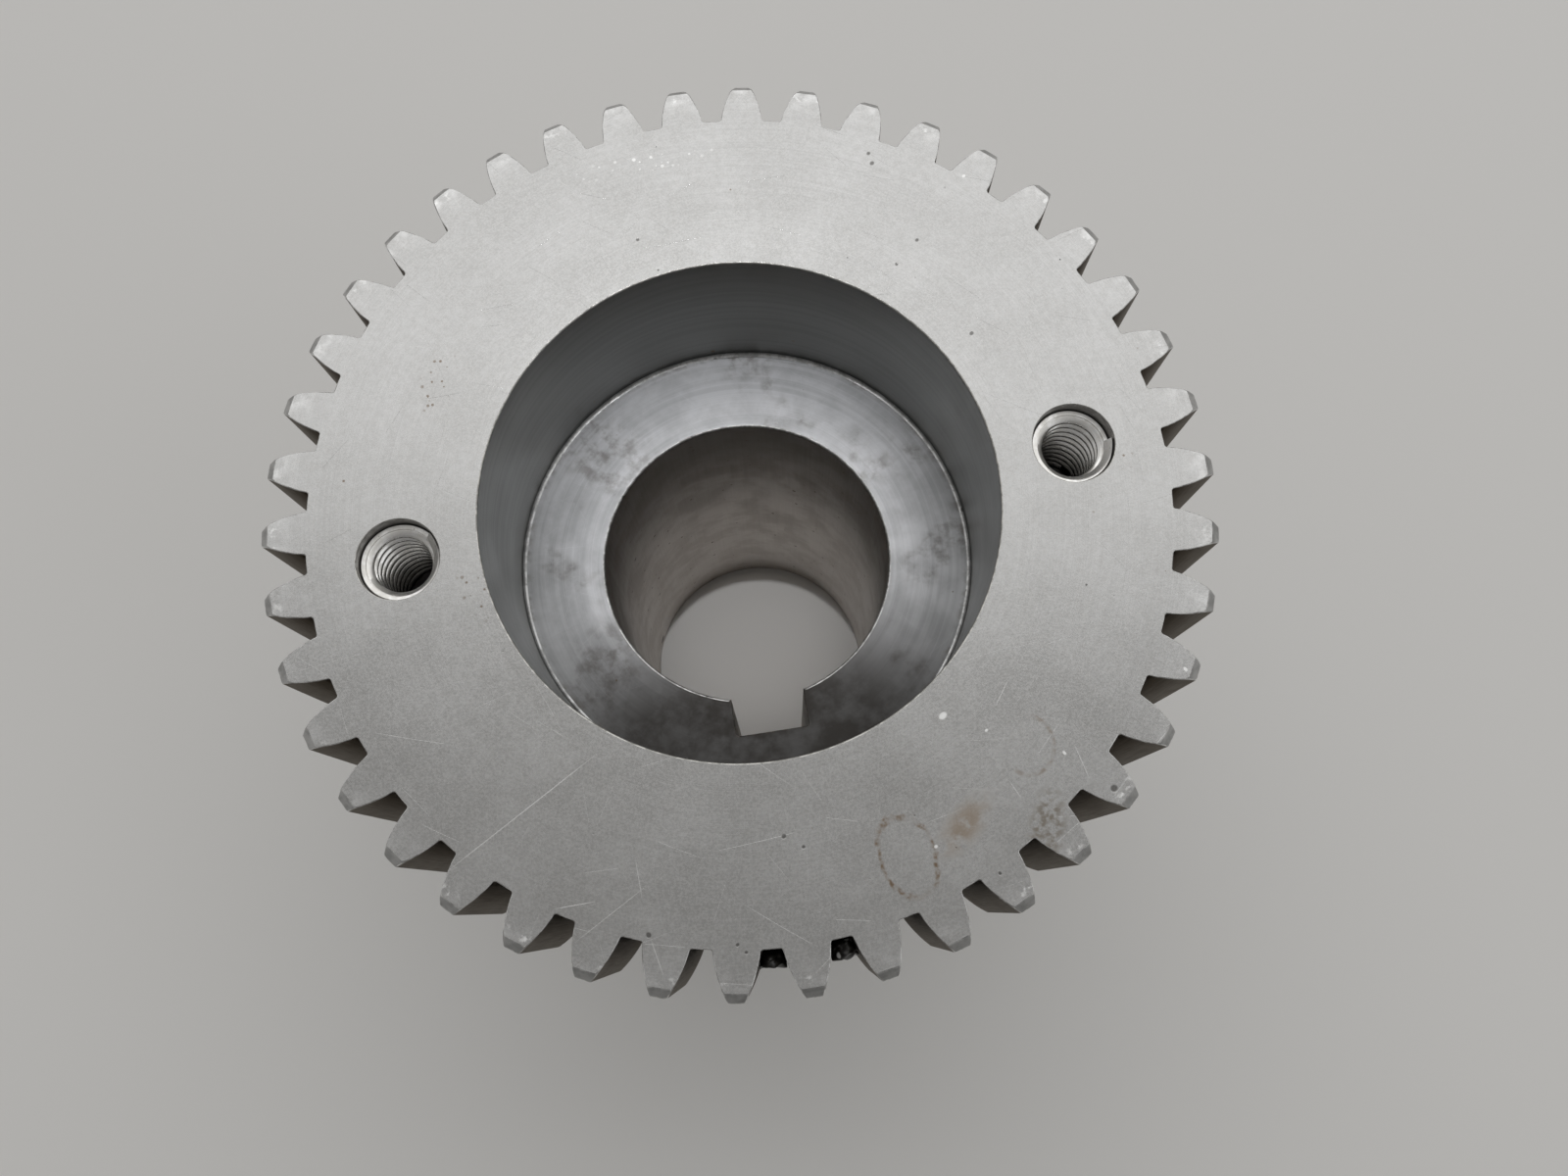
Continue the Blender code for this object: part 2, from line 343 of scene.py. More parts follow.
def make_gear_ring(materials):
    """The toothed ring: teeth, end faces, recess wall, collar, blind holes and grease in two gaps."""
    body = bmesh.new()
    outline = with_normals(gear_outline(), 1.0)
    breaks = uneven_breaks(outline)
    upper = edge_rings(outline, breaks, FACE_TOP, 1.0, tip_drop)
    lower = edge_rings(outline, breaks, TEETH_BOTTOM, -1.0, tip_drop)
    top_flat = flat_limit(upper[0], FACE_TOP)
    bottom_flat = flat_limit(lower[0], TEETH_BOTTOM)
    bridge(body, [top_flat, upper[0]], BEVEL)
    bridge(body, upper, BRIGHT_EDGE)
    bridge(body, [upper[-1], lower[-1]], FLANK)
    bridge(body, lower[::-1], BRIGHT_EDGE)
    bridge(body, [lower[0], bottom_flat], BEVEL)

    rim = arc_profile((RECESS_RADIUS + RIM_CHAMFER, FACE_TOP - RIM_CHAMFER), RIM_CHAMFER, 90.0, 180.0,
                      CORNER_STEPS)
    turned(body, rim, RIM)
    foot = (RECESS_RADIUS, RING_BOTTOM + HUB_CHAMFER)
    turned(body, [rim[-1], foot], WALL)
    turned(body, [foot, (RECESS_RADIUS + HUB_CHAMFER, RING_BOTTOM),
                  (COLLAR_RADIUS - HUB_CHAMFER, RING_BOTTOM)], SIDE)
    neck = arc_profile((COLLAR_RADIUS + COLLAR_FILLET, TEETH_BOTTOM - COLLAR_FILLET), COLLAR_FILLET,
                       180.0, 90.0, ARC_STEPS)
    turned(body, [(COLLAR_RADIUS - HUB_CHAMFER, RING_BOTTOM),
                  (COLLAR_RADIUS, RING_BOTTOM + HUB_CHAMFER)] + neck, SIDE)

    centres = [hole_centre(number) for number in (1, 2)]
    holes = [circle(HOLE_RADIUS + HOLE_EDGE, FACE_TOP, HOLE_STEPS, centre) for centre in centres]
    fill(body, [top_flat, circle(rim[0][0], FACE_TOP)] + holes, FACE)
    fill(body, [bottom_flat, circle(COLLAR_RADIUS + COLLAR_FILLET, TEETH_BOTTOM)], FACE)
    for centre in centres:
        puller_hole(body, centre, DRILLED)
    for side, seed in GREASE_LUMPS:
        grease_lump(body, side, seed)
    return make_piece("toothed_ring", body, materials, "gear_ring")


# ------------ hub sleeve

# Material slots of the sleeve.
HUB_FACE, HUB_EDGE, HUB_BORE, HUB_SIDE, KEY_BURR, BEAD_EDGE = range(6)


def bore_outline():
    """Outline of the bore with its keyway, anticlockwise from the keyway's right-hand mouth."""
    mouth = math.asin(KEY_HALF_WIDTH / SHAFT_RADIUS)
    span = math.tau - 2.0 * mouth
    points = []
    for index in range(CIRCLE_STEPS + 1):
        points.append(polar(SHAFT_RADIUS, KEYWAY_ANGLE + mouth + span * index / CIRCLE_STEPS))
    arc_count = len(points)
    for side in (-1.0, 1.0):
        corner = []
        for step in range(CORNER_STEPS + 1):
            turn = 0.5 * math.pi * step / CORNER_STEPS
            x = KEY_HALF_WIDTH - KEY_CORNER * (1.0 - math.cos(turn))
            y = -KEY_FLOOR + KEY_CORNER * (1.0 - math.sin(turn))
            corner.append(Vector((side * x, y)))
        points += corner if side < 0.0 else corner[::-1]
    return points, arc_count


def make_hub_sleeve(materials):
    """The long sleeve: bore, keyway, spigot, shoulder and the bead around its upper end face."""
    body = bmesh.new()
    points, arc_count = bore_outline()
    outline = with_normals(points, -1.0)
    breaks = [BORE_EDGE if index < arc_count else KEY_EDGE for index in range(len(points))]
    breaks[0] = KEY_EDGE
    breaks[arc_count - 1] = KEY_EDGE
    upper = edge_rings(outline, breaks, SLEEVE_TOP, 1.0, lambda radius: 0.0)
    lower = edge_rings(outline, breaks, 0.0, -1.0, lambda radius: 0.0)
    bridge(body, upper, HUB_EDGE)
    bridge(body, [upper[-1], lower[-1]], HUB_BORE)
    bridge(body, lower[::-1], HUB_EDGE)

    rim = arc_profile((SPIGOT_RADIUS - BEAD, SLEEVE_TOP + BEAD), BEAD, -90.0, 0.0, ARC_STEPS)
    turned(body, rim, BEAD_EDGE)
    turned(body, [rim[-1], (SPIGOT_RADIUS, SHOULDER_TOP)], HUB_SIDE)
    turned(body, [(SPIGOT_RADIUS, SHOULDER_TOP), (HUB_RADIUS - HUB_CHAMFER, SHOULDER_TOP),
                  (HUB_RADIUS, SHOULDER_TOP - HUB_CHAMFER), (HUB_RADIUS, HUB_CHAMFER),
                  (HUB_RADIUS - HUB_CHAMFER, 0.0)], HUB_SIDE)
    fill(body, [circle(rim[0][0], SLEEVE_TOP), upper[0]], HUB_FACE)
    fill(body, [circle(HUB_RADIUS - HUB_CHAMFER, 0.0), lower[0]], HUB_SIDE)
    mouth = math.sqrt(SHAFT_RADIUS ** 2 - KEY_HALF_WIDTH ** 2)
    for face in body.faces:
        middle = face.calc_center_median()
        in_keyway = middle.y < -mouth and abs(middle.x) < KEY_HALF_WIDTH + KEY_EDGE
        if in_keyway and face.material_index == HUB_EDGE:
            face.material_index = KEY_BURR
    return make_piece("keyed_hub_sleeve", body, materials, "hub_sleeve")


# ------------ thread inserts

def coil_section():
    """Section of the insert's wire as (radius, height) about its middle: thread inside, seat outside."""
    crest = THREAD_PITCH / 8.0
    groove = 0.5 * THREAD_PITCH - THREAD_PITCH / 16.0
    seat = 0.49 * THREAD_PITCH
    upper = [
        (COIL_RADIUS, seat - 0.14 * MM),
        (COIL_RADIUS - 0.12 * MM, seat),
        (THREAD_ROOT + 0.10 * MM, groove + 0.02 * MM),
        (THREAD_ROOT + 0.06 * MM, groove - 0.10 * MM),
        (THREAD_ROOT - 0.02 * MM, groove - 0.10 * MM),
        (THREAD_CREST + 0.05 * MM, crest + 0.03 * MM),
        (THREAD_CREST, crest - 0.04 * MM),
    ]
    return upper + [(radius, -height) for radius, height in reversed(upper)]


def countersunk(radius, height):
    """A radius inside the insert, widened where the countersink at its mouth cuts the thread away."""
    above = max(0.0, height - (FACE_TOP - COUNTERSINK_DEPTH))
    return max(radius, THREAD_CREST + COUNTERSINK_SLOPE * above)


def make_insert(number, start, material):
    """A coil insert, one long right-hand thread that winds down from its cut end."""
    node = f"thread_insert_{number}"
    x, y = hole_centre(number)
    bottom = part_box(node)[0].z
    first = FACE_TOP - COIL_START_DEPTH - 0.5 * THREAD_PITCH
    turns = (first - bottom) / THREAD_PITCH - 0.5
    stations = round(turns * COIL_STEPS)
    section = coil_section()
    body = bmesh.new()
    rows = []
    for index in range(stations + 1):
        angle = start - math.tau * index / COIL_STEPS
        middle = first - THREAD_PITCH * index / COIL_STEPS
        row = []
        for radius, height in section:
            at = polar(countersunk(radius, middle + height), angle)
            row.append(body.verts.new((at.x, at.y, middle + height)))
        rows.append(row)
    for row, after in zip(rows, rows[1:]):
        for index in range(len(section)):
            following = (index + 1) % len(section)
            body.faces.new((row[index], row[following], after[following], after[index]))
    body.faces.new(rows[0])
    body.faces.new(rows[-1][::-1])
    return make_piece(f"coil_insert_{number}", body, [material], node, (x, y, 0.0))


# ------------ materials

class Metal:
    """A material's node tree, metal by default, with short ways to add nodes to it."""

    def __init__(self, name):
        self.material = bpy.data.materials.new(name)
        self.material.use_nodes = True
        self.tree = self.material.node_tree
        self.shader = self.tree.nodes["Principled BSDF"]
        self.shader.inputs["Metallic"].default_value = 1.0
        self.point = self.tree.nodes.new("ShaderNodeTexCoord").outputs["Object"]
        parts = self.node("ShaderNodeSeparateXYZ", {0: self.point})
        self.x, self.y, self.z = parts.outputs
        self.flat = self.vector(self.x, self.y, 0.0)
        self.radius = self.length(self.flat)

    def node(self, kind, values, **settings):
        """Add a node; each value is a number, a colour or another node's socket."""
        node = self.tree.nodes.new(kind)
        for name, value in settings.items():
            setattr(node, name, value)
        for socket, value in values.items():
            if isinstance(value, bpy.types.NodeSocket):
                self.tree.links.new(value, node.inputs[socket])
            else:
                node.inputs[socket].default_value = value
        return node

    def math(self, operation, first, second=0.0):
        return self.node("ShaderNodeMath", {0: first, 1: second}, operation=operation).outputs[0]

    def vector(self, x, y, z):
        return self.node("ShaderNodeCombineXYZ", {0: x, 1: y, 2: z}).outputs[0]

    def length(self, vector):
        return self.node("ShaderNodeVectorMath", {0: vector}, operation="LENGTH").outputs[1]

    def move(self, operation, first, second):
        return self.node("ShaderNodeVectorMath", {0: first, 1: second}, operation=operation).outputs[0]

    def ramp(self, value, low, high, start=0.0, end=1.0):
        """Smooth step from start at low to end at high."""
        values = {0: value, 1: low, 2: high, 3: start, 4: end}
        return self.node("ShaderNodeMapRange", values, interpolation_type="SMOOTHSTEP").outputs[0]

    def both(self, first, second):
        return self.math("MULTIPLY", first, second)

    def either(self, first, second):
        return self.math("MAXIMUM", first, second)

    def plus(self, first, second):
        return self.math("ADD", first, second)

    def mix(self, share, first, second):
        """Mix two colours."""
        node = self.node("ShaderNodeMix", {0: share}, data_type="RGBA")
        for socket, value in ((6, first), (7, second)):
            if isinstance(value, bpy.types.NodeSocket):
                self.tree.links.new(value, node.inputs[socket])
            else:
                node.inputs[socket].default_value = (*value, 1.0)
        return node.outputs[2]

    def layers(self, colour, coats):
        """Lay coats over a colour in turn, each with its share, its strength and its own colour."""
        for share, strength, coat in coats:
            colour = self.mix(self.both(share, strength), colour, coat)
        return colour

    def cloud(self, size, detail=3.0, offset=0.0, stretch=(1.0, 1.0, 1.0)):
        """Soft noise whose features have a size in millimetres."""
        at = self.move("ADD", self.point, (offset, 0.7 * offset, 0.3 * offset))
        at = self.move("DIVIDE", at, tuple(size * MM * share for share in stretch))
        values = {"Vector": at, "Scale": 1.0, "Detail": detail, "Roughness": 0.6}
        return self.node("ShaderNodeTexNoise", values).outputs[0]

    def lines(self, across, fine, long, detail=3.0):
        """Tool marks: change within a fine size along one coordinate, within a long one elsewhere."""
        fast = self.math("DIVIDE", across, fine * MM)
        slow = [self.math("DIVIDE", along, long * MM) for along in (self.x, self.y)]
        at = self.vector(fast, *slow)
        values = {"Vector": at, "Scale": 1.0, "Detail": detail, "Roughness": 0.65}
        return self.node("ShaderNodeTexNoise", values).outputs[0]

    def cells(self, at, size, dimensions="3D"):
        """Random cells of a size in millimetres, and their random colours."""
        cells = self.node("ShaderNodeTexVoronoi", {"Vector": at, "Scale": 1.0 / (size * MM)},
                          voronoi_dimensions=dimensions)
        return cells, self.node("ShaderNodeSeparateColor", {0: cells.outputs["Color"]})

    def specks(self, size, radius, share, offset=0.0):
        """Sparse round spots of about a radius, in a share of the cells."""
        cells, random = self.cells(self.move("ADD", self.point, (offset, offset, offset)), size)
        reach = self.plus(self.both(random.outputs[1], radius / size), 0.3 * radius / size)
        near = self.ramp(self.math("DIVIDE", cells.outputs["Distance"], reach), 1.0, 0.6)
        return self.both(near, self.ramp(random.outputs[0], share, 0.9 * share))

    def scratches(self, size, length, width, share, offset):
        """Slightly bowed scratches at random angles on a face that looks up, in a share of the cells."""
        length, width = length * MM, width * MM
        at = self.move("ADD", self.flat, (offset, 0.4 * offset, 0.0))
        cells, random = self.cells(at, size, "2D")
        away = self.move("SUBTRACT", at, cells.outputs["Position"])
        angle = self.both(random.outputs[0], math.tau)
        spun = self.node("ShaderNodeVectorRotate", {"Vector": away, "Angle": angle}, rotation_type="Z_AXIS")
        parts = self.node("ShaderNodeSeparateXYZ", {0: spun.outputs[0]})
        along = self.ramp(self.math("ABSOLUTE", parts.outputs[0]), 0.5 * length, 0.2 * length)
        bow = self.both(self.both(parts.outputs[0], parts.outputs[0]), 0.04 / length)
        across = self.ramp(self.math("ABSOLUTE", self.plus(parts.outputs[1], bow)), 0.5 * width, 0.1 * width)
        return self.both(self.both(along, across), self.ramp(random.outputs[1], share, 0.8 * share))

    def stroke(self, start, end, width):
        """One straight scratch between two places on a face that looks up, fading at its ends."""
        first = Vector((*start, 0.0)) * MM
        run = Vector((*end, 0.0)) * MM - first
        away = self.move("SUBTRACT", self.flat, tuple(first))
        dot = self.node("ShaderNodeVectorMath", {0: away, 1: tuple(run / run.length_squared)},
                        operation="DOT_PRODUCT").outputs[1]
        share = self.node("ShaderNodeClamp", {0: dot}).outputs[0]
        foot = self.node("ShaderNodeVectorMath", {0: tuple(run), "Scale": share},
                         operation="SCALE").outputs[0]
        gap = self.length(self.move("SUBTRACT", away, foot))
        taper = self.ramp(self.math("ABSOLUTE", self.plus(share, -0.5)), 0.5, 0.25, 0.35, 1.0)
        return self.both(self.ramp(gap, width * MM, 0.3 * width * MM), taper)

    def spot(self, centre, size, turn=0.0):
        """Distance from an oval's middle, 1 on its outline, on a face that looks up."""
        away = self.move("SUBTRACT", self.flat, (centre[0] * MM, centre[1] * MM, 0.0))
        spun = self.node("ShaderNodeVectorRotate", {"Vector": away, "Angle": math.radians(turn)},
                         rotation_type="Z_AXIS").outputs[0]
        return self.length(self.move("DIVIDE", spun, (size[0] * MM, size[1] * MM, 1.0)))

    def finish(self, colour, roughness, height, depth, anisotropy=0.0):
        """Connect colour, roughness and a height map of a depth in millimetres to the shader."""
        self.tree.links.new(colour, self.shader.inputs["Base Color"])
        self.tree.links.new(roughness, self.shader.inputs["Roughness"])
        bump = self.node("ShaderNodeBump", {"Distance": depth * MM, "Height": height, "Strength": 1.0})
        self.tree.links.new(bump.outputs[0], self.shader.inputs["Normal"])
        if anisotropy:
            self.shader.inputs["Anisotropic"].default_value = anisotropy
            tangent = self.node("ShaderNodeTangent", {}, direction_type="RADIAL", axis="Z")
            self.tree.links.new(tangent.outputs[0], self.shader.inputs["Tangent"])
        return self.material


BROWN = (0.17, 0.105, 0.05)
PALE_RUST = (0.27, 0.19, 0.115)
# Near black, for grease on the tooth flanks and for painted shade down the puller holes.
GRIME_AND_SHADE = (0.025, 0.022, 0.018)

# Scratches on the top face, in millimetres: both ends and half width.
FACE_SCRATCHES = [
    ((-19.5, -26.3), (-37.2, -36.6), 0.08),
    ((-16.7, -38.0), (-16.5, -42.3), 0.06),
    ((-25.8, -41.9), (-21.5, -41.8), 0.07),
    ((-16.1, -46.6), (-15.3, -50.2), 0.09),
    ((-24.0, -45.6), (-16.2, -41.2), 0.04),
    ((24.4, -27.8), (26.3, -25.2), 0.05),
    ((32.1, -33.3), (32.9, -37.0), 0.06),
    ((24.3, -36.0), (25.2, -38.0), 0.05),
]

# White chips and dark pits on the top face, in millimetres: middle and half size; the last two white spots
# are painted glints.
FACE_CHIPS_AND_GLINTS = [
    ((18.5, -28.0), (0.56, 0.40)),
    ((22.9, -30.3), (0.22, 0.16)),
    ((15.2, -41.7), (0.24, 0.20)),
    ((30.8, -34.0), (0.18, 0.28)),
    # These last two are painted glints: white spots that stand for sparkles of light.
    ((45.9, -27.0), (0.20, 0.32)),
    ((33.2, 37.1), (0.24, 0.20)),
]
FACE_PITS = [
    ((35.3, -38.6), (0.46, 0.42)),
    ((22.4, 40.6), (0.34, 0.28)),
    ((22.2, 42.0), (0.28, 0.24)),
    ((26.0, 29.4), (0.28, 0.22)),
    ((30.2, 16.3), (0.32, 0.24)),
    ((23.0, 26.6), (0.22, 0.22)),
    ((-7.4, 34.7), (0.24, 0.22)),
    ((-0.7, -38.2), (0.30, 0.26)),
    ((1.2, -39.6), (0.22, 0.22)),
    ((21.4, -45.5), (0.20, 0.24)),
    ((-16.3, -46.1), (0.30, 0.34)),
    ((-7.2, -48.5), (0.24, 0.20)),
    ((-6.4, -49.4), (0.20, 0.20)),
]

# Places with many small rust specks, in millimetres and degrees: middle, half size and turn.
RUSTY_PLACES = [
    ((43.0, -1.8), (3.6, 1.4), 5.0),
    ((40.2, -6.4), (1.4, 1.8), 0.0),
    ((-30.6, -6.6), (4.0, 2.0), 60.0),
    ((-33.0, 20.0), (2.2, 5.0), 20.0),
]

# Stains, and a band of painted glints, on the top face, in millimetres and degrees: middle, half size and
# turn.
DROP_RING = ((12.1, -42.2), (3.0, 4.4), -8.0)
DROP_CURL = ((27.1, -32.6), (2.8, 3.2), 10.0)
RUST_SMEAR = ((18.6, -40.0), (2.1, 4.6), 48.0)
RUST_AT_TEETH = ((27.4, -41.5), (2.2, 4.8), 20.0)
GLINTS = ((-5.5, 45.0), (10.0, 1.5), -4.0)

# The painted shadow over the lower side of the hub face, and its two tarnished places.
HUB_PAINTED_SHADOW = ((-2.0, -32.0), (42.0, 30.0))
HUB_TARNISH = [((-17.0, 17.5), (10.0, 6.0), 45.0), ((-20.5, -12.5), (6.0, 9.0), 30.0)]

# Middles of the tooth gaps that are smeared with black grease, and the smear's half size, in millimetres.
GREASY_GAPS = [(-3.3, -50.2), (3.4, -50.4)]
GREASE_SMEAR = (2.3, 1.5)


def face_stains(metal):
    """Shares of brown, of pale rust and of grey grime in the stains on the top face."""
    broken = metal.ramp(metal.cloud(0.9, 4.0, 0.3), 0.42, 0.62)
    ring = metal.spot(*DROP_RING)
    ring = metal.plus(ring, metal.ramp(metal.cloud(2.2, 3.0, 0.9), 0.3, 0.7, -0.08, 0.08))
    outline = metal.ramp(metal.math("ABSOLUTE", metal.plus(ring, -1.0)), 0.13, 0.03)
    wobble = metal.ramp(metal.cloud(1.7, 3.0, 0.7), 0.36, 0.52, 0.30, 1.0)
    curl = metal.spot(*DROP_CURL)
    curl = metal.both(metal.ramp(metal.math("ABSOLUTE", metal.plus(curl, -1.0)), 0.12, 0.02),
                      metal.ramp(metal.plus(metal.x, metal.both(metal.y, -0.5)), 42.2 * MM, 43.4 * MM))
    drop = metal.either(metal.both(outline, wobble), metal.both(curl, 0.6))
    drop = metal.both(drop, metal.plus(metal.both(broken, 0.8), 0.2))
    smear = metal.both(metal.ramp(metal.spot(*RUST_SMEAR), 1.2, 0.2),
                       metal.ramp(metal.cloud(1.6, 4.0, 0.1), 0.30, 0.58))
    teeth = metal.both(metal.ramp(metal.spot(*RUST_AT_TEETH), 1.2, 0.4), broken)
    return drop, metal.either(smear, metal.both(teeth, 0.35)), metal.both(teeth, 0.9)


def any_spot(metal, places):
    """Share of the small spots of a list, each with a middle and a half size in millimetres."""
    share = 0.0
    for centre, size in places:
        share = metal.either(metal.ramp(metal.spot(centre, size, -30.0), 1.1, 0.6), share)
    return share


def face_marks(metal):
    """Shares of scratches, of white marks and painted glints, of dark pits and of brown specks on the top
    face.
    """
    deep = 0.0
    for start, end, width in FACE_SCRATCHES:
        deep = metal.either(metal.stroke(start, end, width), deep)
    # Painted glints: white specks that stand for sparkles of light, in a band near the +Y side of the face.
    glint = metal.both(metal.specks(0.7, 0.24, 0.50, 0.9),
                       metal.ramp(metal.spot(*GLINTS), 1.2, 0.3))
    bright = metal.either(metal.both(deep, 0.42), metal.either(glint, any_spot(metal, FACE_CHIPS_AND_GLINTS)))
    dirty = metal.ramp(metal.cloud(8.0, 3.0, 0.45), 0.48, 0.60, 0.25, 1.0)
    pits = metal.either(metal.specks(1.9, 0.12, 0.14),
                        metal.specks(4.6, 0.22, 0.25, 0.4))
    pits = metal.either(metal.both(pits, dirty), metal.both(any_spot(metal, FACE_PITS), 0.85))
    brown = metal.both(metal.specks(2.6, 0.18, 0.20, 0.7), dirty)
    for centre, size, turn in RUSTY_PLACES:
        here = metal.ramp(metal.spot(centre, size, turn), 1.1, 0.5)
        rusty = metal.both(here, metal.specks(0.6, 0.20, 0.60, centre[1] * MM))
        brown = metal.either(brown, rusty)
    return deep, bright, pits, brown


def ground_face():
    """Ground end faces of the teeth: fine grain, scratches, specks, painted glints, stains and bright worn
    tips.
    """
    metal = Metal("ground_face_steel")
    grain = metal.cloud(0.24, 2.0)
    mottle = metal.cloud(0.9, 3.0, 0.6)
    soft = metal.cloud(9.0, 4.0, 0.2)
    rings = metal.lines(metal.radius, 0.11, 30.0)
    light = metal.either(metal.scratches(5.0, 6.0, 0.045, 0.6, 0.11),
                         metal.scratches(9.0, 11.0, 0.06, 0.4, 0.53))
    faint = metal.either(metal.scratches(2.6, 3.2, 0.05, 0.8, 0.29),
                         metal.scratches(1.5, 2.0, 0.04, 0.8, 0.71))
    deep, bright, pits, specks = face_marks(metal)
    streak = metal.math("ABSOLUTE", metal.plus(metal.radius, -53.2 * MM))
    streak = metal.both(metal.ramp(streak, 0.7 * MM, 0.1 * MM),
                        metal.ramp(metal.cloud(1.0, 5.0, 0.5), 0.52, 0.66))
    streak = metal.both(streak, metal.ramp(metal.cloud(9.0, 2.0, 0.9), 0.46, 0.60))
    worn = metal.both(metal.ramp(metal.radius, 50.5 * MM, 54.5 * MM),
                      metal.ramp(metal.cloud(1.8, 5.0, 0.4), 0.42, 0.68))
    brown, rust, grime = face_stains(metal)

    colour = metal.mix(metal.ramp(soft, 0.3, 0.7), (0.445, 0.443, 0.436), (0.515, 0.514, 0.510))
    colour = metal.layers(colour, [
        (metal.ramp(mottle, 0.35, 0.65), 0.28, (0.37, 0.364, 0.348)),
        (metal.ramp(grain, 0.34, 0.68), 0.36, (0.66, 0.655, 0.645)),
        (metal.ramp(rings, 0.35, 0.70), 0.18, (0.30, 0.295, 0.29)),
        (faint, 0.22, (0.76, 0.76, 0.75)),
        (light, 0.30, (0.80, 0.80, 0.79)),
        (worn, 0.55, (0.76, 0.76, 0.755)),
        (grime, 0.75, (0.15, 0.135, 0.11)),
        (rust, 0.62, PALE_RUST),
        (brown, 0.85, BROWN),
        (specks, 0.75, (0.16, 0.11, 0.07)),
        (pits, 0.8, (0.06, 0.055, 0.05)),
        (metal.either(bright, streak), 0.9, (0.95, 0.95, 0.94)),
    ])

    rough = metal.plus(metal.ramp(soft, 0.3, 0.7, 0.255, 0.28), metal.ramp(grain, 0.3, 0.7, -0.02, 0.03))
    rough = metal.plus(rough, metal.both(worn, -0.06))
    rough = metal.plus(rough, metal.both(metal.either(bright, streak), 0.18))
    rough = metal.plus(rough, metal.both(metal.either(brown, metal.either(rust, grime)), 0.25))
    height = metal.plus(metal.both(grain, 0.6), metal.both(rings, 0.5))
    height = metal.plus(height, metal.both(metal.either(light, deep), -1.0))
    height = metal.plus(height, metal.both(pits, -3.0))
    return metal.finish(colour, rough, height, 0.0065)


def tip_bevel():
    """Turned bevel at the tooth tips, duller than the face, rubbed bright on its rims."""
    metal = Metal("tip_bevel_steel")
    turning = metal.lines(metal.radius, 0.09, 30.0)
    dull = metal.cloud(1.5, 5.0, 0.35)
    rub = metal.both(metal.ramp(metal.radius, TIP_CHAMFER_START + 0.25 * MM, TIP_CHAMFER_START),
                     metal.ramp(metal.cloud(1.3, 4.0, 0.15), 0.44, 0.60))
    colour = metal.mix(metal.ramp(dull, 0.35, 0.65), (0.33, 0.33, 0.325), (0.50, 0.50, 0.495))
    colour = metal.layers(colour, [
        (metal.ramp(turning, 0.35, 0.7), 0.25, (0.55, 0.55, 0.545)),
        (rub, 0.7, (0.85, 0.85, 0.84)),
    ])
    return metal.finish(colour, metal.ramp(dull, 0.3, 0.7, 0.42, 0.32), turning, 0.008)


def broken_edge(name, colour_dark, colour_bright):
    """A small rounded edge, rubbed bright in places and dull in others."""
    metal = Metal(name)
    rub = metal.ramp(metal.cloud(1.1, 5.0, 0.6), 0.38, 0.62)
    nick = metal.specks(1.5, 0.30, 0.3, 0.2)
    colour = metal.mix(rub, colour_dark, colour_bright)
    colour = metal.mix(metal.both(nick, 0.7), colour, (0.12, 0.11, 0.10))
    return metal.finish(colour, metal.ramp(rub, 0.0, 1.0, 0.50, 0.42), metal.cloud(0.15), 0.004)


def tooth_flank():
    """Hobbed flanks and root lands: marks along the tooth, contact wear, grime and painted shade towards the
    root, and grease at the root.
    """
    metal = Metal("tooth_flank_steel")
    # Duller at glancing angles than clean steel.
    metal.shader.inputs["Specular Tint"].default_value = (0.42, 0.39, 0.36, 1.0)
    along = metal.cloud(0.10, 3.0, 0.0, (1.0, 1.0, 60.0))
    hob = metal.lines(metal.z, 0.55, 4.0, 2.0)
    soft = metal.cloud(3.0, 4.0, 0.5)
    contact = metal.both(metal.ramp(metal.radius, 50.4 * MM, 51.6 * MM), metal.ramp(soft, 0.35, 0.65))
    # Painted shade as well as grime: the root lands are darkened, broken by noise.
    low = metal.ramp(metal.radius, 50.6 * MM, 49.7 * MM)
    grime = metal.both(low, metal.ramp(metal.cloud(1.4, 4.0, 0.8), 0.35, 0.60))
    packed = 0.0
    for centre in GREASY_GAPS:
        packed = metal.either(metal.ramp(metal.spot(centre, GREASE_SMEAR), 1.15, 0.7), packed)
    packed = metal.both(packed, metal.ramp(metal.z, FACE_TOP - 9.0 * MM, FACE_TOP - 5.0 * MM))
    specks = metal.specks(1.8, 0.2, 0.25, 0.4)
    colour = metal.mix(metal.ramp(along, 0.3, 0.7), (0.15, 0.14, 0.128), (0.25, 0.24, 0.225))
    colour = metal.layers(colour, [
        (metal.ramp(hob, 0.4, 0.65), 0.25, (0.34, 0.33, 0.315)),
        (contact, 0.25, (0.36, 0.35, 0.33)),
        (grime, 0.75, (0.03, 0.026, 0.021)),
    ])
    # Painted shade: the flanks darken from the tips towards the root circle.
    shade = metal.ramp(metal.radius, 54.5 * MM, 50.4 * MM, 0.0, 0.70)
    colour = metal.mix(shade, colour, (0.035, 0.030, 0.025))
    colour = metal.layers(colour, [
        (specks, 0.7, BROWN),
        (packed, 0.95, GRIME_AND_SHADE),
    ])
    rough = metal.plus(metal.ramp(along, 0.3, 0.7, 0.44, 0.34), metal.both(metal.either(grime, packed), 0.22))
    height = metal.plus(metal.both(along, 0.6), metal.both(hob, 0.7))
    return metal.finish(colour, rough, height, 0.012)


